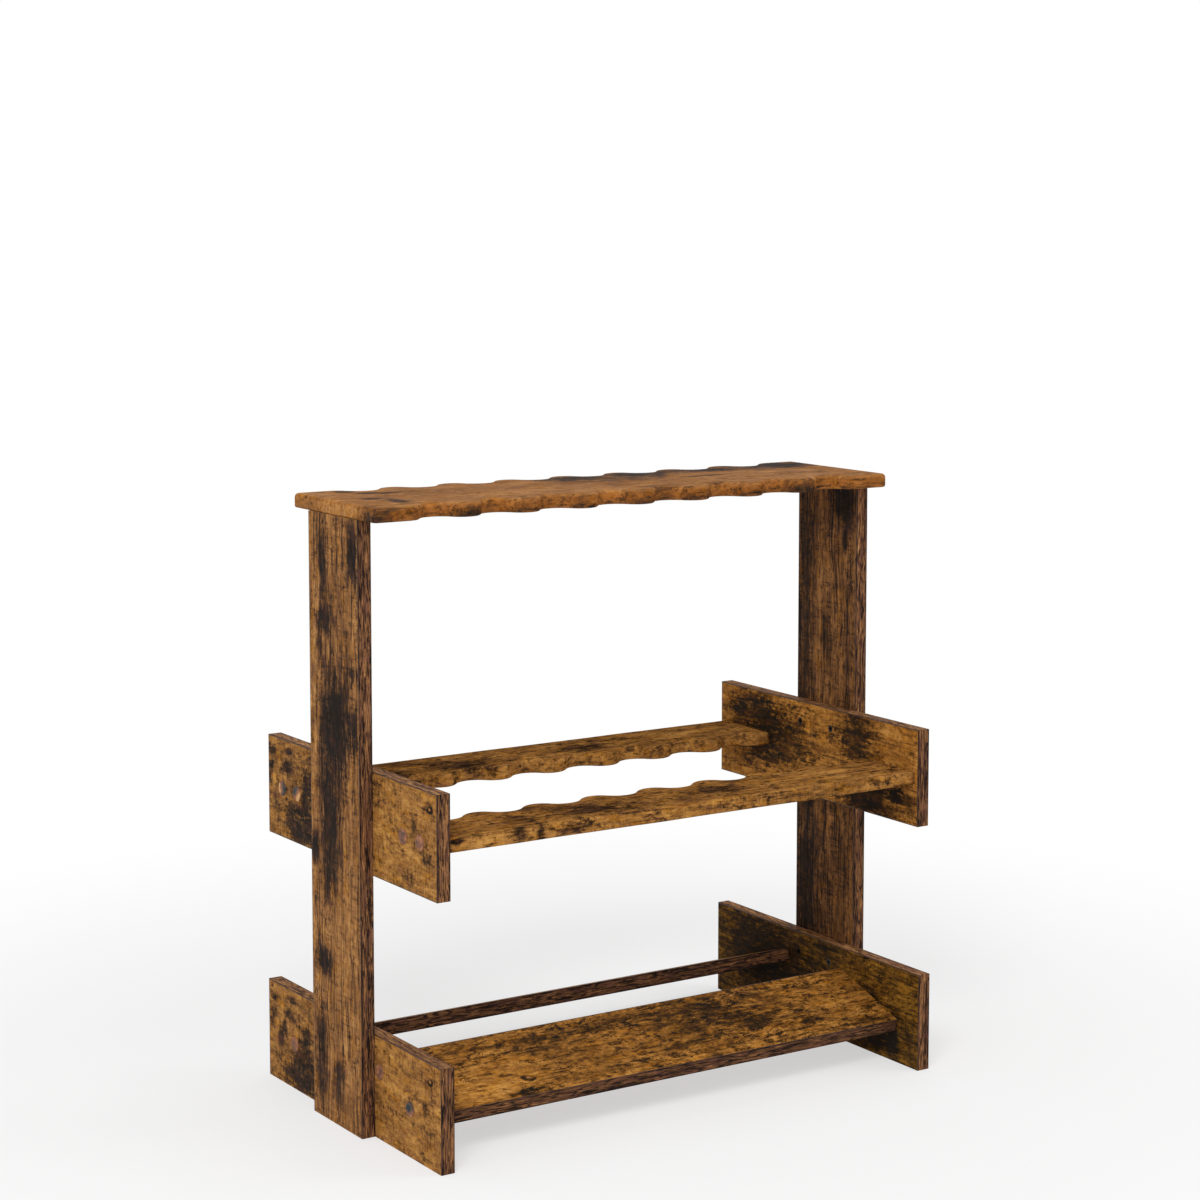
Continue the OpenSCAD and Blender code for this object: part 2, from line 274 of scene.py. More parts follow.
# Faint rubs and dust that change the gloss
def makeScuffs():
    inputs = {"Vector": (0, 0, 0), "Low": 0.4, "High": 0.6}
    tree, given, out = newGroup("scuffs", inputs, {"Roughness": "Float"})
    broad = noise(tree, given["Vector"], scale=0.03, detail=4.0, rough=0.6)["Fac"]
    thin = noise(tree, stretch(tree, given["Vector"], (1, 0.08, 1)), scale=0.5, rough=0.6)["Fac"]
    rub = calc(tree, "MULTIPLY_ADD", thin, 0.4, calc(tree, "MULTIPLY", broad, 0.6))
    feed(tree, out["Roughness"], spread(tree, rub, 0.3, 0.7, given["Low"], given["High"]))
    return tree


grainGroup = makeGrain()
smearGroup = makeSmear()
knotGroup = makeKnot()
specksGroup = makeSpecks()
chipGroup = makeChipboard()
scuffGroup = makeScuffs()


# Materials

def newMaterial(name):
    material = bpy.data.materials.new(name)
    material.use_nodes = True
    tree = material.node_tree
    return material, tree, tree.nodes["Principled BSDF"]


# Object coordinates in millimetres, centred on the board and turned along its grain
def boardPlace(tree, centre, turn):
    spot = tree.nodes.new("ShaderNodeTexCoord").outputs["Object"]
    inputs = {"Vector": spot, "Location": centre, "Rotation": turn, "Scale": (mm, mm, mm)}
    return addNode(tree, "ShaderNodeMapping", inputs, vector_type="TEXTURE").outputs[0]


# Gloss between two roughnesses
def scuffedGloss(tree, place, limits):
    low, high = limits
    return useGroup(tree, scuffGroup, {"Vector": place, "Low": low, "High": high})["Roughness"]


# Gives the shader its colour and roughness, and a relief of so many millimetres
def finishShader(tree, shader, color, roughness, height, strength, relief):
    bump = addNode(tree, "ShaderNodeBump", {"Height": height, "Strength": strength, "Distance": relief * mm})
    feed(tree, shader.inputs["Base Color"], color)
    feed(tree, shader.inputs["Roughness"], roughness)
    feed(tree, shader.inputs["Normal"], bump.outputs[0])


# Puts a list of patches on the tone: each is its place, its size and how dark it is
def addSmears(tree, tone, place, smears, texture, rag):
    for at, size, strength in smears:
        inputs = {"Vector": place, "Centre": at, "Size": size, "Texture": texture, "Rag": rag}
        mask = useGroup(tree, smearGroup, inputs)["Mask"]
        tone = calc(tree, "MULTIPLY_ADD", mask, -strength, tone)
    return tone


def addKnots(tree, tone, place, knots, dark):
    eyes = 0.0
    for at, size in knots:
        knot = useGroup(tree, knotGroup, {"Vector": place, "Centre": at, "Size": size})
        tone = calc(tree, "MULTIPLY_ADD", knot["Ring"], -dark, tone)
        eyes = calc(tree, "MAXIMUM", eyes, knot["Eye"])
    return tone, eyes


# 1 on a flat board's long narrow sides, 0 on its faces and ends
def rimMask(tree, normal):
    steep = calc(tree, "SUBTRACT", 1.0, calc(tree, "ABSOLUTE", normal["Z"]))
    return calc(tree, "MULTIPLY", steep, spread(tree, calc(tree, "ABSOLUTE", normal["X"]), 0.97, 0.88))


# Reddish and golden areas, and a warmer rim
def tintWood(tree, color, hues, rim, look):
    hues = splitColor(tree, hues)
    color = blendColor(tree, spread(tree, hues[0], 0.52, 0.68, 0.0, look["rosy"]), color, look["blush"])
    gild = blendColor(tree, 1.0, color, look["gilt"], "MULTIPLY")
    color = blendColor(tree, spread(tree, hues[1], 0.5, 0.66), color, gild)
    warm = blendColor(tree, 1.0, color, look["rimTint"], "MULTIPLY")
    return blendColor(tree, calc(tree, "MULTIPLY", rim, look["rimWarm"]), color, warm)


# Bare particle board on the sides whose normal lies along Z with one of the given signs
def addRawSides(tree, color, height, place, normal, signs):
    raw = 0.0
    for sign in signs:
        side = calc(tree, "GREATER_THAN", calc(tree, "MULTIPLY", normal["Z"], sign), 0.7)
        raw = calc(tree, "ADD", raw, side)
    chips = useGroup(tree, chipGroup, {"Vector": place})
    color = blendColor(tree, raw, color, chips["Color"])
    height = calc(tree, "MULTIPLY_ADD", calc(tree, "MULTIPLY", chips["Height"], raw), 2.0, height)
    return color, height


# Rustic printed board: grain, placed patches, knots, pores and a gentle relief
def printedWood(name, centre, turn, look):
    material, tree, shader = newMaterial(name)
    place = boardPlace(tree, centre, turn)
    coordinates = tree.nodes["Texture Coordinate"].outputs
    normal = addNode(tree, "ShaderNodeSeparateXYZ", {0: coordinates["Normal"]}).outputs
    rim = rimMask(tree, normal)
    labels = ("Seed", "Streaks", "Clouds", "Grit", "Lines", "Mottles", "Cracks", "Hatch")
    inputs = {label: look[label.lower()] for label in labels}
    grain = useGroup(tree, grainGroup, dict(inputs, Vector=place))
    tone = calc(tree, "ADD", grain["Tone"], look["lift"])
    tone = calc(tree, "MULTIPLY_ADD", rim, -look["rimShade"], tone)
    broad = noise(tree, stretch(tree, place, (0.4, 1, 1)), scale=0.1, detail=6.0, rough=0.75)
    thin = noise(tree, stretch(tree, place, look["tear"]), scale=0.45, detail=4.0, rough=0.7)["Fac"]
    ragged = calc(tree, "MULTIPLY_ADD", broad["Fac"], 0.6, calc(tree, "MULTIPLY", thin, 0.4))
    tone = addSmears(tree, tone, place, look["smears"], ragged, look["rag"])
    tone, eyes = addKnots(tree, tone, place, look["knots"], look["knotDark"])
    color = tintWood(tree, colorSteps(tree, tone, look["steps"]), broad["Color"], rim, look)
    if look["knots"]:
        color = blendColor(tree, calc(tree, "MULTIPLY", eyes, 0.8), color, look["knotEye"])
    amount = calc(tree, "MULTIPLY", grain["Dense"], look["specks"])
    inputs = {"Vector": place, "Seed": look["seed"], "Size": look["speckSize"], "Amount": amount}
    specks = useGroup(tree, specksGroup, inputs)["Mask"]
    color = blendColor(tree, calc(tree, "MULTIPLY", specks, 0.75), color, look["pore"])
    height = grain["Height"]
    if look["rawSides"]:
        color, height = addRawSides(tree, color, height, place, normal, look["rawSides"])
    gloss = scuffedGloss(tree, place, look["gloss"])
    finishShader(tree, shader, color, gloss, height, look["bump"], look["relief"])
    shader.inputs["Specular IOR Level"].default_value = look["shine"]
    return material


# A CAD node keeps its mesh and gets a better material
def dressNode(node, material):
    for slot in nodes[node].material_slots:
        slot.material = material


def middleOf(node):
    low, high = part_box(node)
    return tuple((low + high) / 2)


brownSteps = [(0.0, "1D1613"), (0.2, "36271D"), (0.36, "543823"), (0.5, "744F2F"), (0.66, "93663B"),
              (0.84, "AD7B48"), (1.0, "C29157")]
amberSteps = [(0.0, "1E1713"), (0.2, "39281A"), (0.36, "5C3F23"), (0.5, "7F572D"), (0.66, "9D6D38"),
              (0.84, "B27F41"), (1.0, "C69350")]
oliveSteps = [(0.0, "1E1812"), (0.2, "3A2813"), (0.36, "5F4119"), (0.5, "815A20"), (0.66, "9C6E2A"),
              (0.84, "AE7F37"), (1.0, "BE9048")]
honeySteps = [(0.0, "1E1812"), (0.2, "392613"), (0.36, "5D3E1B"), (0.5, "815625"), (0.66, "A06C30"),
              (0.84, "B8803B"), (1.0, "CA934B")]
tanSteps = [(0.0, "2A2624"), (0.2, "483830"), (0.36, "6C4A2E"), (0.5, "8C5F36"), (0.66, "A47143"),
            (0.84, "B6834F"), (1.0, "C6945D")]

# Shares that every printed board starts from; rawSides are the Z sides that show bare particle board
plankLook = {
    "seed": 1.0, "steps": brownSteps, "blush": "6B4436", "rosy": 0.4, "gilt": "FFF0B0",
    "streaks": 0.2, "clouds": 0.3, "grit": 0.4, "lines": 0.25, "mottles": 0.3, "cracks": 0.25,
    "hatch": 0.15, "lift": 0.1, "rimShade": 0.0, "rimWarm": 0.0, "rimTint": "FFE2AE",
    "rag": 4.0, "tear": (0.1, 1, 1), "smears": [], "knots": [], "knotDark": 0.6, "knotEye": "B07C48",
    "specks": 0.14, "speckSize": 4.5, "pore": "2A201B", "gloss": (0.5, 0.7), "shine": 0.04,
    "bump": 0.35, "relief": 0.15, "rawSides": (),
}

# Uprights. A patch is its place (up from the middle, across to the back, through), its size in the same
# order and how dark it is
leftUprightLook = dict(plankLook, seed=1.0, streaks=0.3, lines=0.4, grit=0.3, mottles=0.25, hatch=0.22,
                       lift=0.13, rawSides=(-1, 1), smears=[
    ((280, -42, 8), (34, 11, 8), 0.6),
    ((270, 24, 8), (44, 8, 8), 0.4),
    ((206, 22, 8), (13, 17, 8), 0.6),
    ((178, 31, 8), (18, 6, 8), 0.45),
    ((108, 0, 8), (70, 42, 8), 0.3),
    ((105, -2, 8), (46, 26, 8), 0.4),
    ((95, -44, 8), (22, 11, 8), 0.45),
    ((20, 12, 8), (46, 20, 8), 0.5),
    ((-30, 10, 8), (50, 22, 8), 0.35),
    ((-60, 17, 8), (26, 8, 8), 0.4),
    ((159, -40, 8), (6, 11, 8), 0.4),
    ((-32, 45, 8), (16, 10, 8), 0.7),
    ((-148, 26, 8), (14, 18, 8), 0.65),
    ((-230, 32, 8), (26, 9, 8), 0.5),
    ((-275, 32, 8), (24, 12, 8), 0.42),
    ((-256, -4, 8), (8, 15, 8), 0.4),
    ((-278, 2, 8), (16, 10, 8), 0.35),
    ((270, 5, 8), (80, 40, 8), 0.14),
    ((130, 45, 8), (110, 5, 8), -0.15),
    ((-140, -25, 8), (90, 26, 8), -0.08),
])
# Its lift is lower than the left upright's: partly a darker print, partly painted shade on the rack's inner
# side
rightUprightLook = dict(plankLook, seed=2.0, blush="4F352B", streaks=0.3, lines=0.4, clouds=0.24,
                        grit=0.25, mottles=0.2, hatch=0.2, lift=-0.04, rawSides=(-1, 1), smears=[
    ((293, -30, 8), (28, 21, 8), 0.45),
    ((249, -33, 8), (12, 3.5, 8), 0.7),
    ((0, 42, 8), (420, 18, 9), 0.2),
    ((-200, 25, 8), (130, 30, 8), 0.2),
    ((230, 12, 8), (90, 5, 8), -0.2),
    ((60, -20, -8), (110, 25, 8), 0.4),
    ((-150, 20, -8), (60, 16, 8), 0.45),
    ((230, 30, -8), (40, 14, 8), 0.4),
])
for side, look in (("left", leftUprightLook), ("right", rightUprightLook)):
    node = side + "_upright"
    dressNode(node, printedWood(side + "UprightWood", middleOf(node), grainUp, look))

# Cross boards. A patch is its place and size (back from the middle, up, through), and how dark it is
leftBackMarks = [
    ((115, 0, -8), (70, 60, 8), 0.1),
    ((174, 37, -8), (9, 5, 8), 0.45),
    ((131, 42, -8), (9, 4, 8), 0.4),
    ((175, 21, -8), (9, 6, 8), 0.4),
    ((138, 25, -8), (10, 8, 8), 0.5),
    ((180, 9, -8), (5, 6, 8), 0.35),
    ((143, 16, -8), (4, 6, 8), -0.35),
    ((168, 7, -8), (4, 9, 8), -0.3),
    ((156, 27, -8), (4, 8, 8), -0.2),
]
leftCrossLook = dict(plankLook, steps=amberSteps, blush="7A4C3A", streaks=0.12, mottles=0.28, hatch=0.28,
                     lines=0.05, cracks=0.12, grit=0.65, specks=0.08, tear=(1, 0.35, 1))
leftMiddleLook = dict(leftCrossLook, seed=3.0, lift=0.15, knots=[((-168, 36, -8), (5.2, 3.6, 20))],
                      smears=leftBackMarks + [
    ((-167, 36, -8), (7, 5, 8), 0.22),
    ((95, 3, -8), (11, 22, 8), 0.5),
    ((108, -36, -8), (34, 18, 8), 0.48),
    ((122, -20, -8), (30, 8, 8), 0.25),
    ((70, 0, -8), (20, 60, 8), 0.3),
    ((160, -22, -8), (20, 6, 8), 0.15),
    ((-137, 13, -8), (6, 11, 8), 0.3),
    ((-160, -16, -8), (15, 9, 8), 0.26),
    ((-128, -38, -8), (20, 6, 8), 0.14),
    ((-60, 34, -8), (14, 12, 8), 0.2),
    ((-75, 5, -8), (24, 22, 8), -0.12),
])
# On the inner face (through -8) several patches are painted shade, marked below
rightMiddleLook = dict(plankLook, seed=4.0, steps=honeySteps, blush="7C4824", lift=0.18, grit=0.55,
                       mottles=0.28, hatch=0.15, tear=(0.4, 0.6, 1), smears=[
    # Painted shade near the upright, where the rods shade the inner face
    ((-75, 25, -8), (34, 34, 8), 0.5),
    # Painted shadow below the front rail
    ((-85, -34, -8), (38, 20, 8), 0.48),
    # Darker back: partly print, partly painted shade of the rods
    ((112, 15, -8), (55, 45, 8), 0.4),
    ((-142, -27, -8), (10, 8, 8), 0.6),
    # Darker back: partly print, partly painted shade of the rods
    ((60, 0, -8), (70, 40, 8), 0.35),
    ((150, 30, -8), (16, 9, 8), 0.4),
    # Painted shadow below the front rail, here and on the next two lines
    ((-120, -44, -8), (60, 10, 8), 0.35),
    ((-162, -28, -8), (18, 11, 8), 0.35),
    ((-110, -22, -8), (60, 8, 8), 0.3),
    ((90, 10, 8), (50, 25, 8), 0.45),
    ((-110, -20, 8), (30, 14, 8), 0.35),
])
leftFootLook = dict(leftCrossLook, seed=5.0, lift=0.175, rawSides=(-1,),
                    knots=[((-166, 35, -8), (4.6, 3.6, 20))], smears=leftBackMarks + [
    ((100, 9, -8), (13, 15, 8), 0.42),
    ((100, -30, -8), (36, 24, 8), 0.44),
    ((130, -42, -8), (40, 12, 8), 0.2),
    ((150, 9, -8), (5, 7, 8), 0.4),
    ((159, -4, -8), (6, 9, 8), 0.45),
    ((-85, 15, -8), (26, 18, 8), -0.14),
    ((-157, 5, -8), (9, 7, 8), 0.3),
    ((-163, -18, -8), (9, 8, 8), 0.26),
    ((-138, 14, -8), (4, 7, 8), 0.22),
    ((-92, -13, -8), (16, 8, 8), 0.16),
])
# Its low lift is partly a darker print, partly painted shade of its inner face, spread over the whole board
rightFootLook = dict(plankLook, seed=6.0, steps=oliveSteps, blush="55371F", lift=-0.15, grit=0.5,
                     mottles=0.22, hatch=0.12, rawSides=(-1,), smears=[
    ((-143, -28, -8), (10, 20, 8), 0.6),
    ((-105, 9, -8), (16, 6, 8), 0.4),
    ((40, 0, -8), (80, 40, 8), 0.2),
    # Darker back: partly print, partly painted shade of the rods
    ((112, 15, -8), (60, 40, 8), 0.28),
    # Painted shadow below the front shelf
    ((-110, -32, -8), (40, 14, 8), 0.3),
    ((-165, 30, -8), (16, 16, 8), -0.15),
    ((80, 0, 8), (40, 30, 8), 0.4),
    ((-120, 20, 8), (26, 10, 8), 0.35),
    # Lighter outer face, taking back part of the painted shade of the low lift
    ((0, 0, 10), (400, 200, 9), -0.25),
])
crossLooks = {"left_middle_board": leftMiddleLook, "right_middle_board": rightMiddleLook,
              "left_foot_board": leftFootLook, "right_foot_board": rightFootLook}
for node, look in crossLooks.items():
    dressNode(node, printedWood(node + "Wood", middleOf(node), grainDeep, look))

# Bottom shelves. A patch is its place and size (along, up the slope, through), and how dark it is
shelfTilt = math.radians(18.5)
frontShelfLook = dict(plankLook, seed=7.0, steps=honeySteps, blush="6A4426", grit=0.65, mottles=0.5,
                      cracks=0.65, clouds=0.38, hatch=0.1, lift=0.06, knots=[((-168, -26, 8), (7, 5, 20))],
                      smears=[
    ((-205, -20, 8), (60, 34, 8), -0.16),
    ((85, 0, 8), (80, 45, 8), 0.16),
    ((40, 38, 8), (150, 14, 8), 0.2),
    ((-180, -47, 8), (16, 8, 8), 0.6),
    ((-215, -35, 8), (38, 13, 8), -0.2),
    ((135, -8, 8), (22, 15, 8), 0.25),
    ((190, -22, 8), (12, 12, 8), 0.35),
    ((-25, -48, 8), (7, 3.5, 8), 0.45),
    ((255, -46, 8), (28, 6, 8), 0.3),
    ((90, 12, 8), (45, 18, 8), 0.15),
    ((-120, 30, 8), (60, 10, 8), 0.2),
])
backShelfLook = dict(frontShelfLook, seed=8.0, knots=[((90, 25, 8), (7, 5, 20))], smears=[
    ((150, 20, 8), (40, 16, 8), 0.45),
    ((-90, -20, 8), (50, 14, 8), 0.4),
    ((-220, 30, 8), (20, 10, 8), 0.5),
])
for name, side, look in (("front", front, frontShelfLook), ("back", back, backShelfLook)):
    node = name + "_bottom_shelf"
    dressNode(node, printedWood(node + "Wood", middleOf(node), (-side * shelfTilt, 0, 0), look))
print("boards done")

# Edging: strips over the boards' cut edges, with a darker and streakier print
edgeLook = {
    "grain": {"Streaks": 0.35, "Clouds": 0.1, "Grit": 0.4, "Lines": 0.4, "Mottles": 0.0, "Cracks": 0.3,
              "Hatch": 0.0},
    "steps": [(0.0, "1E1817"), (0.25, "3D2A20"), (0.45, "5C3F2A"), (0.65, "7B5538"), (0.85, "9C6D44"),
              (1.0, "B88A58")],
    "sideSteps": [(0.3, "2A1E18"), (0.55, "463024"), (0.75, "6B4A34")],
    "ringGap": 0.05, "ringDark": 0.5, "ringDepth": 0.6, "rimDark": 0.3, "rosy": 0.55, "blush": "744C42",
    "gloss": (0.45, 0.65), "shine": 0.015, "bump": 0.4, "relief": 0.12,
    "softEdge": 0.25,                                      # rounding of the arrises
    "joint": 0.1,                                          # open joint between strips at a corner
}


def edgePrint(name, turn, seed, lift):
    material, tree, shader = newMaterial(name)
    place = boardPlace(tree, (0, 0, 0), turn)
    grain = useGroup(tree, grainGroup, dict(edgeLook["grain"], Vector=place, Seed=seed))
    rings = grainNoise(tree, place, along=0.09, scale=0.15, detail=2.0, rough=0.5)
    wave = calc(tree, "DIVIDE", calc(tree, "PINGPONG", rings, edgeLook["ringGap"]), edgeLook["ringGap"])
    lines = spread(tree, wave, 0.6, 0.15)
    tone = calc(tree, "ADD", grain["Tone"], lift)
    tone = calc(tree, "MULTIPLY_ADD", lines, -edgeLook["ringDark"], tone)
    across = addNode(tree, "ShaderNodeAttribute", {}, attribute_name="across").outputs["Fac"]
    rim = spread(tree, calc(tree, "ABSOLUTE", across), 0.7, 0.95)
    tone = calc(tree, "MULTIPLY_ADD", rim, -edgeLook["rimDark"], tone)
    color = colorSteps(tree, tone, edgeLook["steps"])
    rosy = noise(tree, stretch(tree, place, (0.2, 1, 1)), scale=0.3)["Fac"]
    rosy = spread(tree, rosy, 0.5, 0.7, 0.0, edgeLook["rosy"])
    color = blendColor(tree, rosy, color, edgeLook["blush"])
    gloss = scuffedGloss(tree, place, edgeLook["gloss"])
    height = calc(tree, "MULTIPLY_ADD", lines, -edgeLook["ringDepth"], grain["Height"])
    finishShader(tree, shader, color, gloss, height, edgeLook["bump"], edgeLook["relief"])
    shader.inputs["Specular IOR Level"].default_value = edgeLook["shine"]
    return material


# The thin dark side of an edging strip
def cutLine():
    material, tree, shader = newMaterial("edgingSide")
    place = boardPlace(tree, (0, 0, 0), grainLong)
    tone = noise(tree, place, scale=0.25, detail=4.0, rough=0.65)["Fac"]
    feed(tree, shader.inputs["Base Color"], colorSteps(tree, tone, edgeLook["sideSteps"]))
    feed(tree, shader.inputs["Roughness"], spread(tree, tone, 0.3, 0.7, 0.5, 0.75))
    return material


edgeUp = edgePrint("edgingPrintUp", grainUp, seed=11.0, lift=0.14)
edgeDeep = edgePrint("edgingPrintDeep", grainDeep, seed=12.0, lift=0.35)
edgeLong = edgePrint("edgingPrintLong", grainLong, seed=13.0, lift=0.06)
edgeSide = cutLine()


# A bmesh becomes a piece that stands for a CAD node
def finishPiece(bm, name, materials, node):
    mesh = bpy.data.meshes.new(name)
    bm.to_mesh(mesh)
    bm.free()
    for material in materials:
        mesh.materials.append(material)
    piece = bpy.data.objects.new(name, mesh)
    bpy.context.scene.collection.objects.link(piece)
    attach(piece, "root")
    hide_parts(node)


# Rounds the chosen edges over, in millimetres
def roundEdges(bm, edges, radius, segments):
    return bmesh.ops.bevel(bm, geom=edges, offset=radius * mm, affect="EDGES", segments=segments,
                           profile=0.5, material=-1)


# Material slots of an edging: print of the main strips, thin sides of all strips, print of level strips
mainSlot, sideSlot, levelSlot = 0, 1, 2


# One edging strip between two corners. Its faces take the print's material slot, apart from the dark
# sides that face thinAxis. Its attribute across runs from -1 to 1 between those sides
def addStrip(bm, low, high, printSlot, thinAxis):
    across = bm.verts.layers.float.get("across") or bm.verts.layers.float.new("across")
    made = bmesh.ops.create_cube(bm, size=1.0)["verts"]
    size = Vector(high) - Vector(low)
    bmesh.ops.scale(bm, vec=size, verts=made)
    bmesh.ops.translate(bm, vec=(Vector(low) + Vector(high)) / 2, verts=made)
    faces = list({face for vert in made for face in vert.link_faces})
    for face in faces:
        face.material_index = sideSlot if abs(face.normal[thinAxis]) > 0.7 else printSlot
    edges = list({edge for face in faces for edge in face.edges})
    rounded = roundEdges(bm, edges, edgeLook["softEdge"], segments=2)
    middle = (low[thinAxis] + high[thinAxis]) / 2
    for vert in rounded["verts"]:
        vert[across] = (vert.co[thinAxis] - middle) / (size[thinAxis] / 2)


# Edging of a board that stands across the rack: both upright edges, and the level ones asked for
def edgeBoard(name, band, board, level):
    low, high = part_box(band)
    coreLow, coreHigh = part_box(board)
    gap = edgeLook["joint"] * mm
    bm = bmesh.new()
    addStrip(bm, low, (high.x, coreLow.y, high.z), mainSlot, 0)
    addStrip(bm, (low.x, coreHigh.y, low.z), high, mainSlot, 0)
    if "top" in level:
        addStrip(bm, (low.x, coreLow.y + gap, coreHigh.z), (high.x, coreHigh.y - gap, high.z), levelSlot, 0)
    if "bottom" in level:
        addStrip(bm, (low.x, coreLow.y + gap, low.z), (high.x, coreHigh.y - gap, coreLow.z), levelSlot, 0)
    materials = [edgeUp, edgeSide, edgeDeep] if level else [edgeUp, edgeSide]
    finishPiece(bm, name, materials, band)


for end in ("left", "right"):
    edgeBoard(end + "UprightEdging", end + "_upright_edging", end + "_upright", ())
    edgeBoard(end + "FootEdging", end + "_foot_edging", end + "_foot_board", ("top",))
    edgeBoard(end + "MiddleEdging", end + "_middle_edging", end + "_middle_board", ("top", "bottom"))

shelfSize = {"width": 108 * mm, "thickness": 15 * mm, "band": 1 * mm}
for name, side in (("front", front), ("back", back)):
    low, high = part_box(name + "_bottom_shelf")
    half, thick, band = shelfSize["width"] / 2, shelfSize["thickness"] / 2, shelfSize["band"]
    bm = bmesh.new()
    addStrip(bm, (low.x, half - band, -thick), (high.x, half, thick), mainSlot, 2)
    addStrip(bm, (low.x, -half, -thick), (high.x, band - half, thick), mainSlot, 2)
    bmesh.ops.rotate(bm, cent=(0, 0, 0), matrix=Matrix.Rotation(-side * shelfTilt, 3, "X"), verts=bm.verts)
    bmesh.ops.translate(bm, vec=(low + high) / 2, verts=bm.verts)
    finishPiece(bm, name + "ShelfEdging", [edgeLong, edgeSide], name + "_shelf_edging")
print("edging done")

# Wavy boards: one notch for each rod, and rims rounded over
waveLook = {
    "pitch": 70 * mm, "rods": 8,
    "columns": 384,                                        # steps along each long edge
    "roundSteps": 5,                                       # faces across a rounding
    "nearly": 0.01 * mm,                                   # places closer than this are the same
}


# How far the wavy edge lies in from its crests at x
def waveDepth(x, depth):
    pitch = waveLook["pitch"]
    half = waveLook["rods"] * pitch / 2
    if abs(x) >= half:
        return 0.0
    radius = (pitch * pitch / 16 + depth * depth / 4) / depth
    away = abs((x + half) % pitch - pitch / 2)             # distance from the nearest notch's middle
    if away < pitch / 4:
        return depth - radius + math.sqrt(radius * radius - away * away)
    return radius - math.sqrt(radius * radius - (pitch / 2 - away) ** 2)


# A board's upright edges between two distances from its middle
def uprightEdges(bm, low, high, nearest, farthest):
    halfHeight = (high.z - low.z) / 2
    upright = [edge for edge in bm.edges if abs(edge.verts[0].co.z - edge.verts[1].co.z) > halfHeight]
    return [edge for edge in upright if nearest < abs(edge.verts[0].co.x) < farthest]


# Rounds the rim of the board's face at this height
def roundRim(bm, height, radius):
    def isAtHeight(vert):
        return abs(vert.co.z - height) < waveLook["nearly"]

    level = [edge for edge in bm.edges if all(isAtHeight(vert) for vert in edge.verts)]
    rim = [edge for edge in level if len(edge.link_faces) == 2]
    roundEdges(bm, rim, radius, waveLook["roundSteps"])


# Board with its long edges moved by two functions of x, and rounded rims
def wavyBoard(name, low, high, edgeNear, edgeFar, look, material, node, slot):
    bm = bmesh.new()
    bmesh.ops.create_grid(bm, x_segments=waveLook["columns"], y_segments=1, size=0.5)
    bmesh.ops.scale(bm, vec=(high.x - low.x, 1, 1), verts=bm.verts)
    for vert in bm.verts:
        vert.co.y = low.y + edgeNear(vert.co.x) if vert.co.y < 0 else high.y - edgeFar(vert.co.x)
        vert.co.z = low.z
    bmesh.ops.recalc_face_normals(bm, faces=bm.faces)
    made = bmesh.ops.extrude_face_region(bm, geom=bm.faces[:])["geom"]
    lifted = [item for item in made if isinstance(item, bmesh.types.BMVert)]
    bmesh.ops.translate(bm, vec=(0, 0, high.z - low.z), verts=lifted)
    inner = [edge for edge in bm.edges if all(abs(face.normal.z) > 0.9 for face in edge.link_faces)]
    bmesh.ops.dissolve_edges(bm, edges=inner, use_verts=False)
    bmesh.ops.recalc_face_normals(bm, faces=bm.faces)
    nearly = waveLook["nearly"]
    endStart = high.x - look["endPlain"] * mm              # from here on each long side is one face
    spare = uprightEdges(bm, low, high, endStart + nearly, high.x - nearly)
    bmesh.ops.dissolve_edges(bm, edges=spare, use_verts=True)
    if look["cornerRound"]:
        corners = uprightEdges(bm, low, high, high.x - nearly, high.x + nearly)
        roundEdges(bm, corners, look["cornerRound"], waveLook["roundSteps"])
    roundRim(bm, high.z, look["topRound"])
    roundRim(bm, low.z, look["bottomRound"])
    for face in bm.faces:
        face.smooth = abs(face.normal.z) < 0.999
    finishPiece(bm, name, [material], node)


# A patch on a wavy board is its place and size (along, to the back, up), and how dark it is
topLook = dict(plankLook, seed=21.0, steps=tanSteps, blush="8A5A40", grit=0.3, mottles=0.2, cracks=0.15,
               hatch=0.0, lift=0.09, rimShade=0.13, rimWarm=0.7, specks=0.05, gloss=(0.3, 0.5),
               shine=0.001, relief=0.1, notch=20, endPlain=40, cornerRound=6.0, topRound=4.5,
               bottomRound=2.5, smears=[
    ((-274, 66, 0), (12, 10, 30), 0.35),
    ((-256, 42, 0), (15, 9, 30), 0.6),
    ((-238, 33, 0), (15, 7, 30), 0.5),
    ((-279, -9, 0), (10, 8, 30), 0.5),
    ((-267, -38, 0), (9, 26, 30), 0.42),
    ((-200, 10, 0), (60, 30, 30), 0.1),
    ((30, 5, 0), (70, 16, 30), 0.12),
    ((240, -30, 0), (50, 12, 30), 0.14),
    ((-110, -30, 0), (60, 20, 30), -0.1),
    ((0, 52, 0), (44, 28, 30), 0.4),
    ((90, 56, 0), (44, 30, 30), 0.42),
    ((60, 22, 0), (50, 18, 30), 0.2),
    ((141, 3, 0), (30, 3.5, 30), 0.8),
    ((133, -36, 0), (10, 3, 30), 0.45),
    ((180, 50, 0), (36, 20, 30), 0.4),
    ((275, 54, 0), (56, 32, 30), 0.5),
    ((150, 66, 0), (190, 24, 30), 0.16),
    ((35, -60, 0), (28, 10, 30), 0.2),
    ((-322, -76, -5), (14, 22, 12), 0.36),
    ((-300, -89, -4), (24, 8, 10), 0.2),
    ((-322, 42, -2), (10, 12, 12), 0.12),
    ((-322, -15, 0), (10, 45, 30), -0.16),
    ((-215, -86, -3), (30, 6, 8), 0.16),
    ((210, -88, -2), (26, 8, 10), 0.2),
    ((258, -88, -3), (14, 5, 6), 0.1),
    ((294, -88, 1), (10, 4, 5), 0.06),
])
